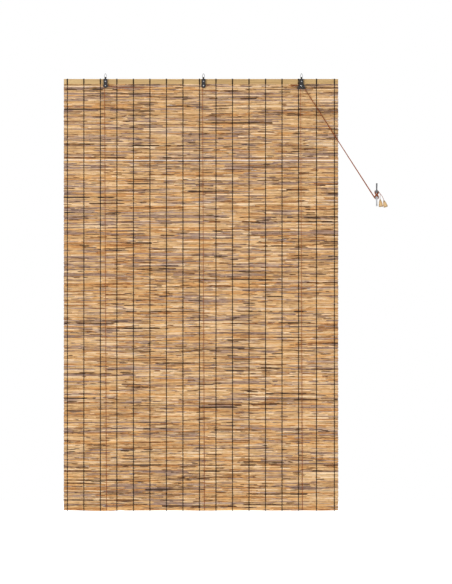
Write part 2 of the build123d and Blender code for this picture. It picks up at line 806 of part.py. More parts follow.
# Tails: from the winding into the tassels, each ending in a knot in the tassel's sink
for letter, route_points in tail_routes.items():
    top, down = tassel_lines[letter]
    points = [Vector(cleat_place, wall, cleat_z) + Vector(*p) for p in route_points]
    points.append(top + down * (tassel_lengths[letter] - tassel_sink_depth + seat_gap))
    radii = corner_radii([tuple(p) for p in points], {})
    with BuildPart() as tail:
        with BuildLine() as route:
            FilletPolyline(*points, radius=radii)
        with BuildSketch(Plane(origin=route.line @ 0, z_dir=route.line % 0)):
            Circle(cord_radius)
        sweep(path=route.line)
        tube_volume = tail.part.volume
        with BuildSketch(Plane(origin=route.line @ 1, z_dir=route.line % 1)):
            Circle(tassel_knot_radius)
        extrude(amount=tassel_knot_length)
    tail.part.label = f"tail_cord_{letter}"
    export_step(tail.part, f"parts/tail_cord_{letter}.step")
    print("tail", letter, "radii", [round(r, 1) for r in radii], "length", round(route.wire().length, 1))
    print("  volume over section times length", tube_volume / (pi * cord_radius**2 * route.wire().length))
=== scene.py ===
import math

import bpy
import numpy as np
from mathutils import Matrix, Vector


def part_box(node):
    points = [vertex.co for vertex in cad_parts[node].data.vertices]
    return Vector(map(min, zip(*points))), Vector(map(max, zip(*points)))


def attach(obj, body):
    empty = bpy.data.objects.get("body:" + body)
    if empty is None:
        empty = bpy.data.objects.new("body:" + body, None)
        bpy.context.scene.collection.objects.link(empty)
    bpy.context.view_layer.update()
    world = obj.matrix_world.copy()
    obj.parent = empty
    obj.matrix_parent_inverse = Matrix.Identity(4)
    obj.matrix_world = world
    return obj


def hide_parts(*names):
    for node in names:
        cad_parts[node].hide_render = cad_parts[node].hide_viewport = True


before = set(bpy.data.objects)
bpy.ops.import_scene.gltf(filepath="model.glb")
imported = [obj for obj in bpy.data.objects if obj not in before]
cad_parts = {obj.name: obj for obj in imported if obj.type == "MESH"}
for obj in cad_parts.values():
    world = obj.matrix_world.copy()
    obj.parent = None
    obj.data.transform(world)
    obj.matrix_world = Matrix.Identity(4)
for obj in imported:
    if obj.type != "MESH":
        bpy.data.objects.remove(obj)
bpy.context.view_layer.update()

# Sizes of the blind are in millimetres, and cord lengths, camera, lamps and floor in metres
MM = 0.001
BODY = "blind"

# Places taken from the CAD nodes
mat_low, mat_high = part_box("reed_mat")
rail_low, rail_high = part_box("head_rail")
mat_left, mat_right = mat_low.x / MM, mat_high.x / MM
mat_top, mat_bottom = mat_high.z / MM, mat_low.z / MM
mat_plane = (mat_low.y + mat_high.y) / 2 / MM
rail_top, rail_bottom = rail_high.z / MM, rail_low.z / MM
rail_front, rail_back = rail_low.y / MM, rail_high.y / MM

# Rows of the mat, as in the CAD wall
reed_rows = 280
pitch_shares = (1.0, 0.86, 1.12, 0.94, 1.08, 0.9, 1.1)
crest_shares = (1.0, 0.9, 0.97, 0.84, 1.0)
row_pitch = (mat_top - mat_bottom) / reed_rows
valleys = [mat_top]
for row in range(reed_rows):
    valleys.append(valleys[-1] - row_pitch * pitch_shares[row % len(pitch_shares)])

# Hangers, and the threads across the mat, evenly spaced between them and at the ends
hangers = {"left": -500.0, "centre": 0.0, "right": 500.0}
thread_counts = (3, 6, 6, 2)
thread_insets = {"left": 17.6, "right": 19.2}
thread_leads = {"left": 26.3, "centre": 20.5, "right": 14.7}
thread_follows = {"left": 58.0, "centre": 63.8, "right": 76.8}
span_starts = [mat_left + thread_insets["left"]]
span_starts += [place + thread_follows[side] for side, place in hangers.items()]
span_ends = [place - thread_leads[side] for side, place in hangers.items()]
span_ends.append(mat_right - thread_insets["right"])
thread_places = []
for count, first, last in zip(thread_counts, span_starts, span_ends):
    thread_places += [first + (last - first) * i / (count - 1) for i in range(count)]

# Cord lanes, wheels and the cleat
lock_place = hangers["right"]
axle_z = -60.825
wheel_radius = 4.8
wheel_top = axle_z + wheel_radius
cord_radius = 1.2
lanes = {"left": 2.7, "centre": 0.0, "right": -2.7}
wheel_middle = 0.0
front_lane, back_lane, cross_lane = 5.5, 19.7, 22.4
hem_lane = 5.1
hem_drop = 1.5
under = mat_bottom - hem_drop
passes = {"left": -231.25, "centre": 31.0, "lock": 438.0}
into_pass, out_of_pass = 6.82, 11.18
levels = {"left": valleys[2], "centre": valleys[1]}
level_sag = 2.9
cleat_place, cleat_z, wall = 883.7, -616.825, 24.6


# Camera straight in front of the blind, level with its middle
camera_data = bpy.data.cameras.new("camera")
camera = bpy.data.objects.new("camera", camera_data)
bpy.context.scene.collection.objects.link(camera)
view_distance = 14.0
view_height = 2.9807
view_x, view_y, view_z = 0.115, 0.008, -1.113
camera_data.sensor_width = 36
camera_data.lens = camera_data.sensor_width * view_distance / view_height
camera.location = (view_x, view_y - view_distance, view_z)
camera.rotation_euler = (math.radians(90), 0, 0)
bpy.context.scene.camera = camera
bpy.context.scene.view_settings.view_transform = "Standard"


def put(name, data, material):
    """A piece of the blind, in place, with its finish."""
    piece = bpy.data.objects.new(name, data)
    bpy.context.scene.collection.objects.link(piece)
    data.materials.append(material)
    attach(piece, BODY)
    return piece


# Steps that the finishes are made of
def shader(name):
    """A new material with one principled shader."""
    material = bpy.data.materials.new(name)
    material.use_nodes = True
    tree = material.node_tree
    tree.nodes.clear()
    out = tree.nodes.new("ShaderNodeOutputMaterial")
    surface = tree.nodes.new("ShaderNodeBsdfPrincipled")
    tree.links.new(surface.outputs["BSDF"], out.inputs["Surface"])
    return material, tree, surface


def node(tree, kind, inputs=None, **settings):
    """A node with its settings, its inputs linked to sockets or set to values."""
    made = tree.nodes.new("ShaderNode" + kind)
    for key, value in settings.items():
        setattr(made, key, value)
    for key, value in (inputs or {}).items():
        if isinstance(value, bpy.types.NodeSocket):
            tree.links.new(value, made.inputs[key])
        else:
            made.inputs[key].default_value = value
    return made


def maths(tree, operation, a, b=0.0):
    """A sum of two values or sockets."""
    return node(tree, "Math", {0: a, 1: b}, operation=operation).outputs[0]


def shared(tree, a, share_a, b, share_b):
    """Two sources added up, each with its share."""
    return maths(tree, "ADD", maths(tree, "MULTIPLY", a, share_a), maths(tree, "MULTIPLY", b, share_b))


def swung(tree, value, source, amount):
    """A value that a noise moves up and down."""
    swing = maths(tree, "SUBTRACT", source, 0.5)
    return maths(tree, "ADD", value, maths(tree, "MULTIPLY", swing, amount))


def stretched(tree, scale, shift=None):
    """Coordinates in the part's own frame, scaled by axis, and moved on by a seed."""
    place = node(tree, "TexCoord").outputs["Object"]
    scaled = node(tree, "VectorMath", {0: place, 1: scale}, operation="MULTIPLY").outputs[0]
    if shift is None:
        return scaled
    return node(tree, "VectorMath", {0: scaled, 1: shift}, operation="ADD").outputs[0]


def noise(tree, vector, detail=2.0, rough=0.5):
    """Noise over coordinates that are scaled already."""
    inputs = {"Vector": vector, "Scale": 1.0, "Detail": detail, "Roughness": rough}
    return node(tree, "TexNoise", inputs).outputs["Fac"]


def ramp(tree, value, stops):
    """Colours by value."""
    made = node(tree, "ValToRGB", {"Fac": value})
    band = made.color_ramp
    while len(band.elements) < len(stops):
        band.elements.new(1.0)
    for element, (place, colour) in zip(band.elements, stops):
        element.position = place
        element.color = (*colour, 1.0)
    return made.outputs["Color"]


def spread(tree, value, low, high, to_low, to_high):
    """A value taken from one range to another."""
    inputs = {"Value": value, "From Min": low, "From Max": high, "To Min": to_low, "To Max": to_high}
    return node(tree, "MapRange", inputs).outputs["Result"]


def blended(tree, share, a, b):
    """Two colours mixed by a share."""
    made = node(tree, "Mix", {"Factor": share}, data_type="RGBA", blend_type="MIX")
    for key, value in ((6, a), (7, b)):
        if isinstance(value, bpy.types.NodeSocket):
            tree.links.new(value, made.inputs[key])
        else:
            made.inputs[key].default_value = (*value, 1.0)
    return made.outputs[2]


def raised(tree, surface, height, depth, strength):
    """Fine relief on a surface, its depth in millimetres."""
    bump = node(tree, "Bump", {"Height": height, "Distance": depth * MM, "Strength": strength})
    tree.links.new(bump.outputs["Normal"], surface.inputs["Normal"])


def join(tree, socket, surface, name):
    """A link into one of the shader's sockets."""
    tree.links.new(socket, surface.inputs[name])


# Rust brown braided cord: slanting strands, a fibre nap and a little wear in the colour
strand_rate = 4200.0
braid_depth = 0.35


def make_cord():
    """The finish of all the cords."""
    material, tree, surface = shader("rust_cord")
    along = node(
        tree, "VectorMath", {0: node(tree, "TexCoord").outputs["Object"], 1: (1.0, 1.0, -1.0)},
        operation="DOT_PRODUCT",
    ).outputs["Value"]
    strands = maths(tree, "SINE", maths(tree, "MULTIPLY", along, strand_rate))
    strand = spread(tree, strands, -1.0, 1.0, 0.0, 1.0)
    wear = noise(tree, stretched(tree, (60.0, 60.0, 60.0)), detail=3.0)
    fibre = noise(tree, stretched(tree, (2600.0, 2600.0, 2600.0)), detail=2.0)
    tone = shared(tree, strand, 0.45, wear, 0.55)
    colour = ramp(tree, tone, [
        (0.15, (0.112, 0.020, 0.002)),
        (0.45, (0.256, 0.050, 0.005)),
        (0.75, (0.385, 0.098, 0.011)),
    ])
    join(tree, colour, surface, "Base Color")
    join(tree, spread(tree, fibre, 0.3, 0.7, 0.62, 0.85), surface, "Roughness")
    height = maths(tree, "ADD", strand, maths(tree, "MULTIPLY", fibre, 0.5))
    raised(tree, surface, height, braid_depth, 0.8)
    surface.inputs["Sheen Weight"].default_value = 0.08
    surface.inputs["Sheen Roughness"].default_value = 0.5
    surface.inputs["Specular IOR Level"].default_value = 0.25
    return material


cord_material = make_cord()


def spline(name, points, radius):
    """A cord of one smooth line, with the route's points as its control points, in millimetres."""
    curve = bpy.data.curves.new(name, "CURVE")
    curve.dimensions = "3D"
    line = curve.splines.new("NURBS")
    line.points.add(len(points) - 1)
    for point, place in zip(line.points, points):
        point.co = (place[0] * MM, place[1] * MM, place[2] * MM, 1.0)
    line.order_u = 3
    line.use_endpoint_u = True
    line.resolution_u = 6
    curve.bevel_depth = radius * MM
    curve.bevel_resolution = 2
    curve.use_fill_caps = True
    return put(name, curve, cord_material)


# Lift cords: from the knot behind the rail down the back, under the hem, up the front and over the wheel
foot_inset = 5.2
knot_drop = 7.0
wheel_entry = 10.5
wheel_exit = 14.0
left_turn, centre_turn = 32.0, 20.0
hem_run = 2 * hem_lane
lift_routes = {}
for side, hanger in hangers.items():
    foot = hanger + foot_inset
    groove = lanes["right"] if side == "right" else wheel_middle
    rising = hanger - wheel_radius
    lift_routes[side] = [
        (foot, back_lane, rail_top - knot_drop),
        (foot, mat_plane + hem_lane, under + hem_run),
        (foot, mat_plane + hem_lane, under),
        (foot, mat_plane - hem_lane, under),
        (foot, mat_plane - hem_lane, under + hem_run),
        (rising, groove, wheel_top - wheel_entry),
        (rising, groove, wheel_top),
    ]
pass_run = math.hypot(into_pass + out_of_pass, cross_lane - front_lane)
lift_routes["left"] += [
    (hangers["left"] + wheel_exit, wheel_middle, wheel_top),
    (hangers["left"] + left_turn, front_lane, levels["left"] - level_sag),
    (passes["left"] - into_pass - pass_run, front_lane, levels["left"] - level_sag),
    (passes["left"] - into_pass, front_lane, levels["left"]),
    (passes["left"] + out_of_pass, cross_lane, levels["left"]),
    (passes["left"] + out_of_pass + pass_run, cross_lane, levels["left"]),
]
lift_routes["centre"] += [
    (hangers["centre"] + wheel_exit, wheel_middle, wheel_top),
    (hangers["centre"] + centre_turn, front_lane, levels["centre"]),
    (passes["centre"] + out_of_pass, cross_lane, levels["centre"]),
    (passes["centre"] + out_of_pass + pass_run, cross_lane, levels["centre"]),
]
for side in ("left", "centre"):
    lift_routes[side] += [
        (passes["lock"] - out_of_pass - pass_run, cross_lane, levels[side]),
        (passes["lock"] - out_of_pass, cross_lane, levels[side]),
        (passes["lock"] + into_pass, front_lane, levels[side]),
        (lock_place - wheel_exit, lanes[side], wheel_top),
    ]
for side, points in lift_routes.items():
    points.append((lock_place, lanes[side], wheel_top))
    lift_cord = spline("lift_cord_line_" + side, points, cord_radius)
    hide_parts("lift_cord_" + side)

# Pull cords: over the lock wheel, straight to the cleat, wound on it in a figure of eight, then the tails
winding_half = 11.0
winding_reach = 18.8
winding_middle = 3.6
winding_depth = 7.0
winding_grow = 2.4
winding_step = 3.4
winding_start = -60
winding_points = -20
winding_stops = {"left": -660, "centre": -660, "right": -630}
half_turn = 180
cleat_middle = (cleat_place, wall, cleat_z)
tails = {
    "left": [(13.1, -16.0, 13.4), (19.0, -16.0, 3.5), (17.0, -16.0, -9.0), (17.9, -16.0, -23.5)],
    "centre": [
        (13.1, -20.5, 12.2), (20.4, -20.5, 2.8), (27.6, -20.5, -6.8), (33.1, -20.5, -17.6),
        (36.7, -20.5, -28.6),
    ],
}
tassel_letters = {"left": "a", "centre": "b"}
tassel_lengths = {"left": 38.6, "centre": 36.2}
tassel_leans = {"left": math.radians(6.8), "centre": math.radians(16.4)}
sink_depth = 12.0
# Coils of cord that make the knots, in steps round and up
knot_share = 0.95
knot_radius = cord_radius * knot_share
coil_steps = 26
coil_angle = 30
coil_radius, coil_rise = 1.5, 0.15
coil_low, coil_start, coil_stop = 1.5, 1.4, 6.6
cord_into_coil = 1.6
lift_coil_radius, lift_coil_rise, lift_coil_low = 1.3, 0.16, 1.0
order = {"left": -1, "centre": 0, "right": 1}


def wound(degrees, side):
    """A point of the winding: a figure of eight whose passes lie on each other, the cords side by side."""
    turn = math.radians(degrees)
    depth = winding_depth + (-half_turn - degrees) / half_turn * winding_grow
    return (
        cleat_place + winding_half * math.sin(2 * turn),
        winding_middle - depth * math.cos(2 * turn),
        cleat_z + winding_reach * math.sin(turn) + order[side] * winding_step,
    )


# Pull cord points up to the winding, with three on each straight run beside the wheel and the cleat
pull_routes = {
    "left": [
        (500.0, 2.7, -56.03), (502.63, 2.7, -56.03), (504.08, 2.71, -58.3), (510.39, 2.78, -68.15),
        (866.41, 6.22, -624.38),
    ],
    "centre": [
        (500.0, 0.0, -56.03), (502.62, 0.0, -56.03), (504.08, 0.02, -58.3), (510.41, 0.13, -68.13),
        (866.38, 6.17, -621.0),
    ],
    "right": [
        (500.0, -2.7, -56.03), (502.61, -2.7, -56.03), (504.08, -2.66, -58.29), (510.44, -2.51, -68.11),
        (866.35, 6.11, -617.62),
    ],
}
for side, points in pull_routes.items():
    turns = range(winding_start, winding_stops[side] - 1, winding_points)
    points += [wound(degrees, side) for degrees in turns]
    if side == "right":
        pull_cord = spline("pull_cord_line_" + side, points, cord_radius)
        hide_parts("pull_cord_" + side, "cord_winding")
        continue
    points += [tuple(a + b for a, b in zip(cleat_middle, place)) for place in tails[side]]
    down = Vector((math.sin(tassel_leans[side]), 0.0, -math.cos(tassel_leans[side])))
    top = Vector(points[-1])
    across = Vector((math.cos(tassel_leans[side]), 0.0, math.sin(tassel_leans[side])))
    sink = top + down * (tassel_lengths[side] - sink_depth)
    points.append(tuple(sink + down * cord_into_coil))
    # The knot that holds the tassel, a small coil of the cord in the tassel's hollow
    coil = [tuple(sink + down * coil_start)]
    for step in range(coil_steps):
        turn = math.radians(coil_angle * step)
        side_way = across * math.cos(turn) + Vector((0.0, 1.0, 0.0)) * math.sin(turn)
        coil.append(tuple(sink + side_way * coil_radius + down * (coil_low + coil_rise * step)))
    coil.append(tuple(sink + down * coil_stop))
    letter = tassel_letters[side]
    knot = spline("tassel_knot_" + letter, coil, knot_radius)
    pull_cord = spline("pull_cord_line_" + side, points, cord_radius)
    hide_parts("pull_cord_" + side, "tail_cord_" + letter)


# The knots of the lift cords behind the rail
for side, points in lift_routes.items():
    knot_points = []
    for step in range(coil_steps):
        turn = math.radians(coil_angle * step)
        knot_points.append((
            points[0][0] + lift_coil_radius * math.cos(turn),
            points[0][1] + lift_coil_radius * math.sin(turn),
            points[0][2] - lift_coil_low + lift_coil_rise * step,
        ))
    spline("lift_knot_" + side, knot_points, knot_radius)


# Reed: straw, tan, orange brown, dark and grey stems, with fibres along them and joint rings; the dark and
# grey stems are partly painted shade between the reeds
ring_rate = 7.0
ring_width = 0.016
fibre_depth = 0.25


def make_reed():
    """The finish of the stems, from the tone, warmth and seed that each carries."""
    material, tree, surface = shader("reed")
    facts = node(tree, "Attribute", attribute_name="reed")
    parts = node(tree, "SeparateColor", {"Color": facts.outputs["Color"]})
    tone, warmth, seed = (parts.outputs[name] for name in ("Red", "Green", "Blue"))
    shift = node(tree, "CombineXYZ", {"X": maths(tree, "MULTIPLY", seed, 97.0), "Y": seed}).outputs[0]
    long_streak = noise(tree, stretched(tree, (32.0, 120.0, 240.0), shift), detail=2.0)
    slow_streak = noise(tree, stretched(tree, (11.0, 160.0, 300.0), shift), detail=1.0)
    fine_streak = noise(tree, stretched(tree, (64.0, 500.0, 900.0), shift), detail=2.0)
    patch = noise(tree, stretched(tree, (8.0, 0.0, 44.0)), detail=1.5)
    broad = noise(tree, stretched(tree, (3.5, 0.0, 6.5)), detail=1.0)
    shade = swung(tree, tone, long_streak, 0.95)
    shade = swung(tree, shade, slow_streak, 0.5)
    shade = swung(tree, shade, fine_streak, 0.35)
    shade = swung(tree, shade, patch, 0.22)
    shade = swung(tree, shade, broad, 0.24)
    warmth = swung(tree, warmth, patch, 0.8)
    warmth = swung(tree, warmth, broad, 0.4)
    # Joint rings, and a tone of its own for each length between two rings
    along = node(tree, "SeparateXYZ", {0: stretched(tree, (ring_rate, 1.0, 1.0))}).outputs["X"]
    rings = maths(tree, "ADD", along, maths(tree, "MULTIPLY", seed, 31.0))
    from_ring = maths(tree, "ABSOLUTE", maths(tree, "SUBTRACT", maths(tree, "FRACT", rings), 0.5))
    ring = spread(tree, from_ring, 0.0, ring_width, 1.0, 0.0)
    length_place = maths(tree, "FLOOR", maths(tree, "ADD", rings, 0.5))
    length_seed = node(tree, "CombineXYZ", {
        "X": maths(tree, "MULTIPLY", length_place, 3.37), "Y": maths(tree, "MULTIPLY", seed, 61.0),
    }).outputs[0]
    length_tone = noise(tree, length_seed, detail=0.0)
    shade = swung(tree, shade, length_tone, 0.75)
    shade = maths(tree, "SUBTRACT", shade, maths(tree, "MULTIPLY", ring, 0.22))
    # The low ends of these ramps, which the dark stems take, and the grey ramp are partly painted shade
    # between the reeds
    golden = ramp(tree, shade, [
        (0.00, (0.044, 0.019, 0.007)),
        (0.14, (0.130, 0.059, 0.021)),
        (0.30, (0.292, 0.144, 0.052)),
        (0.48, (0.500, 0.285, 0.117)),
        (0.62, (0.612, 0.370, 0.161)),
        (0.76, (0.700, 0.445, 0.206)),
        (0.88, (0.778, 0.524, 0.284)),
        (1.00, (0.835, 0.618, 0.385)),
    ])
    grey = ramp(tree, shade, [
        (0.00, (0.050, 0.032, 0.026)),
        (0.30, (0.200, 0.122, 0.092)),
        (0.60, (0.365, 0.238, 0.182)),
        (1.00, (0.640, 0.465, 0.345)),
    ])
    warm = ramp(tree, shade, [
        (0.00, (0.070, 0.022, 0.007)),
        (0.30, (0.290, 0.105, 0.028)),
        (0.60, (0.560, 0.260, 0.080)),
        (1.00, (0.830, 0.480, 0.170)),
    ])
    colour = blended(tree, spread(tree, warmth, 0.30, 0.14, 0.0, 0.9), golden, grey)
    colour = blended(tree, spread(tree, warmth, 0.70, 0.90, 0.0, 0.9), colour, warm)
    join(tree, colour, surface, "Base Color")
    join(tree, spread(tree, fine_streak, 0.3, 0.7, 0.55, 0.8), surface, "Roughness")
    fibre = noise(tree, stretched(tree, (60.0, 2400.0, 3200.0), shift), detail=2.0)
    height = maths(tree, "ADD", fibre, maths(tree, "MULTIPLY", ring, 1.2))
    raised(tree, surface, height, fibre_depth, 0.7)
    surface.inputs["Specular IOR Level"].default_value = 0.35
    return material


reed_material = make_reed()


def tube_faces(start, rings, sides):
    """Faces of a tube with closed ends, from the number of its first point."""
    faces = []
    for i in range(rings - 1):
        here = start + i * sides
        for k in range(sides):
            after = (k + 1) % sides
            faces.append((here + k, here + after, here + sides + after, here + sides + k))
    last = start + (rings - 1) * sides
    faces.append(tuple(start + k for k in reversed(range(sides))))
    faces.append(tuple(last + k for k in range(sides)))
    return faces


def smooth_mesh(name, points, faces):
    """A smooth mesh, from lists of points in millimetres."""
    data = bpy.data.meshes.new(name)
    data.from_pydata((np.concatenate(points) * MM).tolist(), [], faces)
    data.polygons.foreach_set("use_smooth", np.ones(len(data.polygons), dtype=bool))
    data.update()
    return data


# Stems: tapered tubes along the rows, each with its own colour, slant and thickness
class Stems:
    """Gathers tubes that run along X, each with its colour, as one mesh."""

    def __init__(self):
        self.points, self.faces, self.colours = [], [], []
        self.count = 0

    def add(self, xs, ys, zs, half_y, half_z, sides, colour):
        """One tube, from the middles and half sizes of its rings."""
        turns = np.arange(sides) * 2 * math.pi / sides + math.pi / sides
        ring_y = ys[:, None] + half_y[:, None] * np.sin(turns)[None, :]
        ring_z = zs[:, None] + half_z[:, None] * np.cos(turns)[None, :]
        ring_x = np.repeat(xs[:, None], sides, axis=1)
        self.points.append(np.stack([ring_x, ring_y, ring_z], axis=2).reshape(-1, 3))
        rings = len(xs)
        self.faces += tube_faces(self.count, rings, sides)
        self.colours.append(np.repeat(np.array([[*colour, 1.0]]), rings * sides, axis=0))
        self.count += rings * sides

    def mesh(self, name):
        """All the tubes, with their colours as an attribute."""
        data = smooth_mesh(name, self.points, self.faces)
        layer = data.color_attributes.new("reed", "FLOAT_COLOR", "POINT")
        layer.data.foreach_set("color", np.concatenate(self.colours).astype(np.float32).ravel())
        return data


# Stems and strips are drawn at random, always from the same seed
draw = np.random.default_rng(20)
# Whole rows differ a little in tone and warmth, as the reeds of one bundle do
row_draw = np.random.default_rng(7)
row_tone_spread, row_warmth_spread = 0.045, 0.11
row_tones = row_draw.normal(0.0, row_tone_spread, reed_rows)
row_warmths = row_draw.normal(0.0, row_warmth_spread, reed_rows)
# Tone and warmth of dark, grey, orange brown and straw reed, and their shares; the dark and grey stems and
# strips stand partly for painted shade in the gaps between reeds
dark_tones, dark_warmths = (0.02, 0.26), (0.3, 0.95)
grey_tones, grey_warmths = (0.42, 0.64), (0.02, 0.28)
warm_tones, warm_warmths = (0.50, 0.74), (0.72, 1.0)
straw_tone, straw_spread, straw_warmths = 0.79, 0.09, (0.34, 0.7)
warm_share = 0.12
warmer_below_share = 0.26
grey_top_share, grey_fall_share = 1.4, 0.7
stem_mix = (0.04, 0.27)
strip_mix = (0.24, 0.28)
# Ends of the mat, the two layers of stems, and the way the rows give to the cords
ragged = 1.2
cut_end_share = 0.92
layer_place = 1.6
layer_half = 2.0
pass_bow = 1.4
pass_reach = 12.0
pass_fade = 1.2
# Stems: lengths, laps, thickness as shares of the row, and how far they lie off the straight
stem_lengths = (120.0, 430.0)
stem_laps = (10.0, 40.0)
stem_rest = 120.0
stem_gap, end_gap = 1.0, 6.0
stem_depth_shares, stem_height_shares = (0.88, 1.0), (0.80, 1.02)
stem_sides = {-1: 8, 1: 6}
stem_slant, stem_lift = 1.3, 0.75
stem_tip_share, stem_point = 0.35, 22.0
stem_least_segments = 3
first_drop_share = 0.55
ring_spacing = 100.0
longest_point_share, point_room_share = 0.35, 1.2
thin_end_shares = (0.8, 1.0)
wave_counts = (0.6, 1.6)
# Strips of dry leaf sheath: how many on each face, lengths, places and sizes
strip_counts = ((-1, 19.0), (1, 5.0))
strip_least = 18.0
strip_spread = 21.0
strip_shape = 2.0
strip_over_share, strip_within_share = 0.3, 0.7
strip_place, strip_stand = 3.3, 0.25
strip_off_share = 0.6
strip_half_depth, strip_half_heights = 0.4, (0.9, 2.9)
strip_slant, strip_lift = 0.9, 0.25
strip_tip_share, strip_point = 0.3, 8.0
strip_sides, strip_least_segments = 6, 1
# The one valley that is open right across the mat
open_valley = 50
open_shift = 0.35
open_share = 0.9
open_calm_share = 0.35
pass_rows = [(passes["left"], 2), (passes["centre"], 1), (passes["lock"], 1), (passes["lock"], 2)]


def bow(xs, row):
    """How far a row gives way to the cords that pass between the rows."""
    total = np.zeros_like(xs)
    for place, valley in pass_rows:
        above = valley - 1 - row
        below = row - valley
        near = math.exp(-pass_fade * max(above, below, 0))
        way = 1.0 if above >= 0 else -1.0
        total += way * near * pass_bow * np.exp(-(((xs - place) / pass_reach) ** 2))
    return total


def reed_colour(row, dark, grey):
    """Tone, warmth and seed of one stem, greyer in the upper rows and warmer in the lower ones; its dark
    and grey kinds stand partly for painted shade between the reeds.
    """
    kind = draw.random()
    depth = row / reed_rows
    grey *= grey_top_share - grey_fall_share * depth
    if kind < dark:
        tone, warmth = draw.uniform(*dark_tones), draw.uniform(*dark_warmths)
    elif kind < dark + grey:
        tone, warmth = draw.uniform(*grey_tones), draw.uniform(*grey_warmths)
    elif kind < dark + grey + warm_share + warmer_below_share * depth:
        tone, warmth = draw.uniform(*warm_tones), draw.uniform(*warm_warmths)
    else:
        tone, warmth = draw.normal(straw_tone, straw_spread), draw.uniform(*straw_warmths)
    return (tone + row_tones[row], warmth + row_warmths[row], draw.random())


def stem(gather, low, high, y, z, half_y, half_z, row, colour, sides, tip, slant, lift, least, point):
    """One stem or strip along X, with tapered ends, a slight slant and a slight wave."""
    segments = max(least, int(round((high - low) / ring_spacing)))
    share = np.linspace(0.0, 1.0, segments + 1)
    edge = min(longest_point_share, point / (high - low))
    between = share[(share > edge * point_room_share) & (share < 1 - edge * point_room_share)]
    share = np.concatenate([[0.0], [edge], between, [1 - edge], [1.0]])
    xs = low + (high - low) * share
    left_end = cut_end_share if low < mat_left + ragged else tip
    right_end = cut_end_share if high > mat_right - ragged else tip
    widths = [left_end, 1.0, draw.uniform(*thin_end_shares), right_end]
    taper = np.interp(share, [0.0, edge, 1 - edge, 1.0], widths)
    tilt = draw.normal(0.0, slant)
    wave_height = draw.normal(0.0, lift)
    wave = wave_height * np.sin(2 * math.pi * (share * draw.uniform(*wave_counts) + draw.random()))
    zs = z + tilt * (share - 0.5) + wave + bow(xs, row)
    ys = np.full_like(xs, y)
    gather.add(xs, ys, zs, half_y * taper, half_z * taper, sides, colour)


bands = 4
rows_per_band = reed_rows // bands
for band in range(bands):
    gather = Stems()
    for row in range(band * rows_per_band, (band + 1) * rows_per_band):
        middle = (valleys[row] + valleys[row + 1]) / 2
        half_row = (valleys[row] - valleys[row + 1]) / 2
        crest = crest_shares[row % len(crest_shares)]
        beside = row in (open_valley - 1, open_valley)
        if beside:
            middle += open_shift if row < open_valley else -open_shift
            half_row *= open_share
        calm = open_calm_share if beside else 1.0
        # Front stems lie in the row, back stems behind the valley below it, and more behind the first row
        behind = 0.0 if row == open_valley - 1 else half_row
        layers = [(-1, 0.0), (1, behind)]
        if row == 0:
            layers.append((1, -first_drop_share * half_row))
        for layer, drop in layers:
            place = mat_left + draw.uniform(-ragged, ragged)
            while place < mat_right - stem_gap:
                length = draw.uniform(*stem_lengths)
                stop = place + length
                end = mat_right + draw.uniform(-ragged, ragged)
                if stop > end - stem_rest:
                    stop = end
                half_depth = layer_half * draw.uniform(*stem_depth_shares)
                half_height = half_row * draw.uniform(*stem_height_shares)
                stem(
                    gather, place, stop, mat_plane + layer * layer_place * crest, middle - drop,
                    half_depth, half_height, row, reed_colour(row, *stem_mix), sides=stem_sides[layer],
                    tip=stem_tip_share, slant=stem_slant * calm, lift=stem_lift * calm,
                    least=stem_least_segments, point=stem_point,
                )
                if stop < mat_right - end_gap:
                    place = stop - draw.uniform(*stem_laps)
                else:
                    place = mat_right
        # Strips of dry leaf sheath on both faces of the row, the dark and grey ones partly painted shade
        # between the reeds
        for layer, mean in strip_counts:
            for strip in range(draw.poisson(mean)):
                length = draw.gamma(strip_shape, strip_spread) + strip_least
                first_low = mat_left - length * strip_over_share
                last_low = mat_right - length * strip_within_share
                low = draw.uniform(first_low, last_low)
                high = min(low + length, mat_right + ragged)
                low = max(low, mat_left - ragged)
                strip_y = mat_plane + layer * (strip_place + draw.uniform(0.0, strip_stand))
                strip_z = middle + draw.uniform(-strip_off_share, strip_off_share) * half_row * calm
                half_height = draw.uniform(*strip_half_heights) * (0.5 + calm / 2)
                stem(
                    gather, low, high, strip_y, strip_z, strip_half_depth, half_height, row,
                    reed_colour(row, *strip_mix), sides=strip_sides, tip=strip_tip_share,
                    slant=strip_slant * calm, lift=strip_lift * calm,
                    least=strip_least_segments, point=strip_point,
                )
    rows_name = "reed_rows_%d" % (band + 1)
    piece = put(rows_name, gather.mesh(rows_name), reed_material)
    if band == 0:
        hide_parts("reed_mat")


# Dark brown twined thread: two yarns that cross between the rows
twist_rate = 6200.0
twist_depth = 0.3


def make_thread():
    """The finish of the warp threads."""
    material, tree, surface = shader("warp_thread")
    along = node(
        tree, "VectorMath", {0: node(tree, "TexCoord").outputs["Object"], 1: (1.0, 0.8, 1.0)},
        operation="DOT_PRODUCT",
    ).outputs["Value"]
    strands = maths(tree, "SINE", maths(tree, "MULTIPLY", along, twist_rate))
    strand = spread(tree, strands, -1.0, 1.0, 0.0, 1.0)
    fibre = noise(tree, stretched(tree, (1800.0, 1800.0, 1800.0)), detail=3.0)
    wear = noise(tree, stretched(tree, (25.0, 25.0, 25.0)), detail=3.0)
    tone = shared(tree, strand, 0.4, wear, 0.6)
    colour = ramp(tree, tone, [
        (0.20, (0.006, 0.004, 0.003)),
        (0.55, (0.016, 0.011, 0.008)),
        (0.85, (0.040, 0.027, 0.020)),
    ])
    join(tree, colour, surface, "Base Color")
    join(tree, spread(tree, fibre, 0.3, 0.7, 0.7, 0.92), surface, "Roughness")
    height = maths(tree, "ADD", strand, maths(tree, "MULTIPLY", fibre, 0.6))
    raised(tree, surface, height, twist_depth, 0.7)
    surface.inputs["Specular IOR Level"].default_value = 0.2
    return material


thread_material = make_thread()


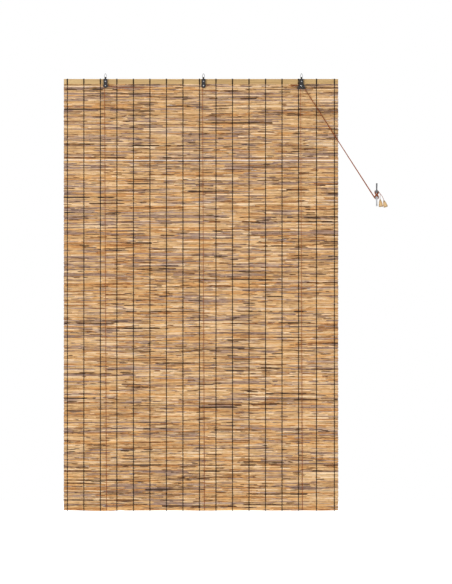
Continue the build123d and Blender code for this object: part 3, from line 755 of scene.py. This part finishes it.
class Yarns:
    """Gathers round yarns that follow lists of points, as one mesh."""

    def __init__(self, sides):
        self.sides = sides
        self.points, self.faces = [], []
        self.count = 0

    def add(self, path, radii):
        """One yarn, from its points and its radius at each."""
        path = np.array(path)
        way = np.gradient(path, axis=0)
        way /= np.linalg.norm(way, axis=1)[:, None]
        across = np.array([1.0, 0.0, 0.0]) - way[:, :1] * way
        across /= np.linalg.norm(across, axis=1)[:, None]
        out = np.cross(way, across)
        turns = np.arange(self.sides) * 2 * math.pi / self.sides
        sideways = np.cos(turns)[None, :, None] * across[:, None, :]
        outward = np.sin(turns)[None, :, None] * out[:, None, :]
        rings = path[:, None, :] + np.array(radii)[:, None, None] * (sideways + outward)
        self.points.append(rings.reshape(-1, 3))
        self.faces += tube_faces(self.count, len(path), self.sides)
        self.count += len(path) * self.sides

    def mesh(self, name):
        """All the yarns."""
        return smooth_mesh(name, self.points, self.faces)


# Yarns of the threads, and the way they go round the rows
yarn_radius = 1.9
rail_yarn_radius = 1.0
rail_turns = (-2.0, 0.0, 2.0)
yarn_reach = 4.4
top_reach = 3.4
top_rows = 4
yarn_square = 2.4
yarn_sway = 1.2
yarn_shares = (0.0, 0.26, 0.74)
yarn_sides = 5
yarn_ends = 4.6
# Loose ends under the mat, as steps along X and Y and shares of their length
first_ends = ((0.4, -1.2, 1.0), (0.2, -0.6, 0.5))
last_ends = ((-0.2, 0.6, 0.5), (-0.5, 1.2, 1.0))
# Turns of yarn round the rail
rail_lap = 1.0
bend_in, bend_low, bend_top = 1.2, 1.6, 1.4
straight_from = 8.0
front_tuck, back_tuck, under_tuck = 0.6, 0.4, 1.2
thread_groups = {
    "left": thread_places[:6],
    "middle": thread_places[6:12],
    "right": thread_places[12:],
}


def twined(place, way):
    """One yarn of a twined pair, from the bottom of the mat to its top, in front of every other row."""
    path = []
    for row in reversed(range(reed_rows)):
        height = valleys[row] - valleys[row + 1]
        for share in yarn_shares:
            turn = math.pi * (row + 1 - share - 0.5)
            reach = top_reach if row < top_rows else yarn_reach
            y = mat_plane - way * reach * math.tanh(yarn_square * math.cos(turn)) / math.tanh(yarn_square)
            path.append((place + way * yarn_sway * math.sin(turn), y, valleys[row + 1] + height * share))
    return path


for name, places in thread_groups.items():
    gather = Yarns(yarn_sides)
    for place in places:
        front = rail_front - rail_yarn_radius
        back = rail_back + rail_yarn_radius
        top = rail_top + rail_yarn_radius
        low = rail_bottom + rail_lap
        rise = twined(place, 1.0)
        fall = twined(place, -1.0)[::-1]
        loop = []
        for turn in rail_turns:
            x = place + turn
            loop += [
                (x, front + bend_in, low - front_tuck),
                (x, front, low + bend_low),
                (x, front, low + straight_from),
                (x, front, top - straight_from),
                (x, front, top - bend_top),
                (x, front + bend_in, top),
                (x, mat_plane, top),
                (x, back - bend_in, top),
                (x, back, top - bend_top),
                (x, back, top - straight_from),
                (x, back, low + straight_from),
                (x, back, low + bend_low),
                (x, back - bend_in, low - back_tuck),
            ]
            if turn != rail_turns[-1]:
                loop.append((x + rail_yarn_radius, mat_plane, low - under_tuck))
        tail = [(place + x, mat_plane + y, mat_bottom - yarn_ends * share) for x, y, share in first_ends]
        end = [(place + x, mat_plane + y, mat_bottom - yarn_ends * share) for x, y, share in last_ends]
        radii = [yarn_radius] * len(tail + rise)
        radii += [rail_yarn_radius] * len(loop)
        radii += [yarn_radius] * len(fall + end)
        gather.add(tail + rise + loop + fall + end, radii)
    piece = put("warp_yarns_" + name, gather.mesh("warp_yarns_" + name), thread_material)
    if name == "left":
        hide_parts("warp_threads")


# Bamboo lath: pale gold with fine grain along it
lath_depth = 0.2


def make_lath():
    """The finish of the head rail."""
    material, tree, surface = shader("bamboo_lath")
    grain = noise(tree, stretched(tree, (5.0, 320.0, 420.0)), detail=4.0, rough=0.6)
    broad = noise(tree, stretched(tree, (2.0, 60.0, 80.0)), detail=2.0)
    tone = shared(tree, grain, 0.6, broad, 0.4)
    colour = ramp(tree, tone, [
        (0.30, (0.230, 0.120, 0.036)),
        (0.44, (0.410, 0.250, 0.090)),
        (0.56, (0.525, 0.345, 0.138)),
        (0.74, (0.630, 0.450, 0.220)),
    ])
    join(tree, colour, surface, "Base Color")
    join(tree, spread(tree, grain, 0.3, 0.7, 0.42, 0.6), surface, "Roughness")
    fibre = noise(tree, stretched(tree, (14.0, 1500.0, 1900.0)), detail=3.0)
    raised(tree, surface, fibre, lath_depth, 0.6)
    return material


# Metal, with brushing or casting grain, and scuffs or painted shade on the upper part where the finish
# calls for them
painted_shade_drift = 20.0
metal_depth = 0.05


def make_metal(name, dark, light, metal, rough, grain, worn=None, depth=metal_depth, painted_shade=None):
    """One metal finish, from its two colours, its range of roughness and its grain."""
    material, tree, surface = shader(name)
    cloud = noise(tree, stretched(tree, (90.0, 90.0, 90.0)), detail=4.0, rough=0.6)
    fine = noise(tree, stretched(tree, grain), detail=3.0, rough=0.6)
    tone = shared(tree, cloud, 0.5, fine, 0.5)
    colour = ramp(tree, tone, [(0.32, dark), (0.68, light)])
    shine = spread(tree, tone, 0.3, 0.7, rough[0], rough[1])
    surface.inputs["Metallic"].default_value = metal
    if worn is not None:
        scuff = noise(tree, stretched(tree, (500.0, 500.0, 160.0)), detail=4.0, rough=0.7)
        colour = blended(tree, spread(tree, scuff, 0.66, 0.74, 0.0, 0.6), colour, worn)
    # Painted shade: the colour turns darker towards the top of the part, above a given height
    if painted_shade is not None:
        low, high, painted_shade_colour = painted_shade
        height = node(tree, "SeparateXYZ", {0: node(tree, "TexCoord").outputs["Object"]}).outputs["Z"]
        height = swung(tree, height, cloud, painted_shade_drift * MM)
        colour = blended(tree, spread(tree, height, low * MM, high * MM, 0.0, 0.9), colour, painted_shade_colour)
    join(tree, colour, surface, "Base Color")
    join(tree, shine, surface, "Roughness")
    raised(tree, surface, fine, depth, 0.6)
    if metal < 0.5:
        surface.inputs["Specular IOR Level"].default_value = 0.3
    return material


# Turned pale wood, with its grain along the tassel, turning lines across it, and painted shade: a darker
# rim and a darker neck
rim_height, rim_above, rim_below = 5.0, 0.8, 0.4
neck_height, neck_full_share = 11.0, 0.6
turning_depth = 0.12


def make_wood(name, top, down, length):
    """The finish of one tassel, from its top end, its direction and its length."""
    material, tree, surface = shader(name)
    place = node(tree, "TexCoord").outputs["Object"]
    local = node(tree, "VectorMath", {0: place, 1: top}, operation="SUBTRACT").outputs[0]
    along = node(tree, "VectorMath", {0: local, 1: down}, operation="DOT_PRODUCT").outputs["Value"]
    grain = noise(tree, stretched(tree, (900.0, 900.0, 60.0)), detail=3.0, rough=0.6)
    lines = node(tree, "CombineXYZ", {"X": maths(tree, "MULTIPLY", along, 2400.0)}).outputs[0]
    turning = noise(tree, lines, detail=2.0)
    tone = shared(tree, grain, 0.7, turning, 0.3)
    colour = ramp(tree, tone, [
        (0.30, (0.400, 0.230, 0.090)),
        (0.50, (0.600, 0.390, 0.170)),
        (0.72, (0.710, 0.500, 0.255)),
    ])
    # Painted shade: a darker band round the bottom rim, and a darker neck at the top
    rim_shade_from = (length - rim_height - rim_above) * MM
    rim_shade_to = (length - rim_height + rim_below) * MM
    edge = spread(tree, along, rim_shade_from, rim_shade_to, 0.0, 0.7)
    colour = blended(tree, edge, colour, (0.210, 0.130, 0.055))
    neck_shade = spread(tree, along, neck_height * neck_full_share * MM, neck_height * MM, 0.7, 0.0)
    colour = blended(tree, neck_shade, colour, (0.260, 0.145, 0.045))
    join(tree, colour, surface, "Base Color")
    join(tree, spread(tree, grain, 0.3, 0.7, 0.32, 0.5), surface, "Roughness")
    raised(tree, surface, turning, turning_depth, 0.5)
    surface.inputs["Coat Weight"].default_value = 0.15
    surface.inputs["Coat Roughness"].default_value = 0.3
    return material


# Moulded black nylon
mould_depth = 0.04


def make_nylon():
    """The finish of the wheels and bushes."""
    material, tree, surface = shader("black_nylon")
    speck = noise(tree, stretched(tree, (1400.0, 1400.0, 1400.0)), detail=2.0)
    cloud = noise(tree, stretched(tree, (120.0, 120.0, 120.0)), detail=3.0)
    colour = ramp(tree, cloud, [(0.3, (0.018, 0.018, 0.018)), (0.7, (0.042, 0.041, 0.040))])
    join(tree, colour, surface, "Base Color")
    join(tree, spread(tree, speck, 0.3, 0.7, 0.38, 0.55), surface, "Roughness")
    raised(tree, surface, speck, mould_depth, 0.5)
    return material


# Finishes of the fittings
lath = make_lath()
black_steel = make_metal(
    "black_steel", dark=(0.009, 0.0075, 0.0075), light=(0.023, 0.020, 0.020), metal=0.0,
    rough=(0.40, 0.58), grain=(700.0, 700.0, 700.0), worn=(0.16, 0.15, 0.14),
)
zinc_wire = make_metal(
    "zinc_wire", dark=(0.11, 0.112, 0.115), light=(0.21, 0.213, 0.216), metal=1.0,
    rough=(0.25, 0.42), grain=(300.0, 300.0, 900.0),
)
bright_steel = make_metal(
    "bright_steel", dark=(0.34, 0.34, 0.34), light=(0.50, 0.50, 0.49), metal=1.0,
    rough=(0.2, 0.36), grain=(900.0, 300.0, 300.0),
)
brass = make_metal(
    "brass", dark=(0.50, 0.33, 0.10), light=(0.70, 0.50, 0.20), metal=1.0,
    rough=(0.24, 0.4), grain=(500.0, 500.0, 500.0),
)
cast_depth = 0.12
# Painted shade on the cleat: its upper horn is darker, from a little below its middle upward
painted_shade_below, painted_shade_above = 12.0, 16.0
cast_metal = make_metal(
    "cast_metal", dark=(0.27, 0.275, 0.285), light=(0.43, 0.44, 0.455), metal=1.0,
    rough=(0.48, 0.62), grain=(420.0, 420.0, 420.0), depth=cast_depth,
    painted_shade=(cleat_z - painted_shade_below, cleat_z + painted_shade_above, (0.070, 0.070, 0.073)),
)
blued_steel = make_metal(
    "blued_steel", dark=(0.030, 0.030, 0.033), light=(0.085, 0.085, 0.09), metal=1.0,
    rough=(0.3, 0.45), grain=(600.0, 600.0, 600.0),
)
nylon = make_nylon()
finishes = {
    "head_rail": lath,
    "cord_staples": zinc_wire,
    "lock_roller": brass,
    "lock_roller_pin": blued_steel,
    "lock_guide_rivet": blued_steel,
    "cleat": cast_metal,
    "pulley_wheel_left": nylon,
    "pulley_wheel_centre": nylon,
    "lock_wheel": nylon,
    "pulley_housing_left": black_steel,
    "pulley_housing_centre": black_steel,
    "lock_housing": black_steel,
}
for side in hangers:
    finishes["hanging_ring_" + side] = zinc_wire
    finishes["axle_rivet_" + side] = bright_steel
    finishes["hanger_screw_" + side] = bright_steel
    finishes["spacer_bush_" + side] = nylon
for side, letter in tassel_letters.items():
    top = (Vector(cleat_middle) + Vector(tails[side][-1])) * MM
    down = (math.sin(tassel_leans[side]), 0.0, -math.cos(tassel_leans[side]))
    wood = make_wood("turned_wood_" + letter, top, down, tassel_lengths[side])
    finishes["tassel_" + letter] = wood
for name, material in finishes.items():
    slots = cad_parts[name].data.materials
    for i in range(len(slots)):
        slots[i] = material
    if not slots:
        slots.append(material)


# White background and soft light
def seen_rays(tree):
    """Rays that show the surroundings, apart from those that light the blind."""
    rays = node(tree, "LightPath")
    seen = maths(tree, "MAXIMUM", rays.outputs["Is Camera Ray"], rays.outputs["Is Glossy Ray"])
    return maths(tree, "MAXIMUM", seen, rays.outputs["Is Transmission Ray"])


world = bpy.data.worlds.new("studio")
bpy.context.scene.world = world
world.use_nodes = True
tree = world.node_tree
tree.nodes.clear()
white = node(tree, "Background", {"Color": (1.0, 1.0, 1.0, 1.0), "Strength": 1.0})
ambient = node(tree, "Background", {"Color": (1.0, 1.0, 1.0, 1.0), "Strength": 0.55})
mixed = node(tree, "MixShader", {0: seen_rays(tree), 1: ambient.outputs[0], 2: white.outputs[0]})
node(tree, "OutputWorld", {"Surface": mixed.outputs[0]})


lamp_target = (0.0, 0.0, -1.1)


def lamp(name, place, size, power):
    """A round lamp that points at the middle of the blind."""
    light = bpy.data.lights.new(name, "AREA")
    light.shape = "DISK"
    light.size = size
    light.energy = power
    made = bpy.data.objects.new(name, light)
    made.location = place
    made.rotation_mode = "QUATERNION"
    made.rotation_quaternion = (Vector(lamp_target) - Vector(place)).to_track_quat("-Z", "Y")
    bpy.context.scene.collection.objects.link(made)


lamps = {
    "key": {"place": (-2.6, -4.6, 0.1), "size": 0.8, "power": 118.0},
    "fill": {"place": (3.0, -3.4, -1.9), "size": 2.5, "power": 76.0},
    "rear": {"place": (0.5, 3.6, 0.8), "size": 2.5, "power": 110.0},
}
for name, facts in lamps.items():
    lamp(name, **facts)

# Pale floor with a faint shadow
floor_data = bpy.data.meshes.new("floor")
floor_size = 6.0
floor_z = -2.64
floor_sides = ((-1, -1), (1, -1), (1, 1), (-1, 1))
floor_corners = [(x * floor_size, y * floor_size, floor_z) for x, y in floor_sides]
floor_data.from_pydata(floor_corners, [], [(0, 1, 2, 3)])
floor = bpy.data.objects.new("floor", floor_data)
bpy.context.scene.collection.objects.link(floor)
floor_material = bpy.data.materials.new("floor")
floor_material.use_nodes = True
tree = floor_material.node_tree
tree.nodes.clear()
matt = node(tree, "BsdfDiffuse", {"Color": (0.9, 0.9, 0.9, 1.0)})
faint = node(tree, "BsdfDiffuse", {"Color": (0.6, 0.6, 0.6, 1.0)})
shadow_middle = (0.1, 0.3, floor_z)
shadow_from, shadow_to = 1.2, 3.6
floor_place = node(tree, "TexCoord").outputs["Object"]
away = node(tree, "VectorMath", {0: floor_place, 1: shadow_middle}, operation="DISTANCE").outputs["Value"]
strength = spread(tree, away, shadow_from, shadow_to, 0.7, 1.0)
glow = node(tree, "Emission", {"Color": (1.0, 1.0, 1.0, 1.0), "Strength": strength})
pale = node(tree, "AddShader", {0: faint.outputs[0], 1: glow.outputs[0]})
shown = node(tree, "MixShader", {0: seen_rays(tree), 1: matt.outputs[0], 2: pale.outputs[0]})
node(tree, "OutputMaterial", {"Surface": shown.outputs[0]})
floor_data.materials.append(floor_material)
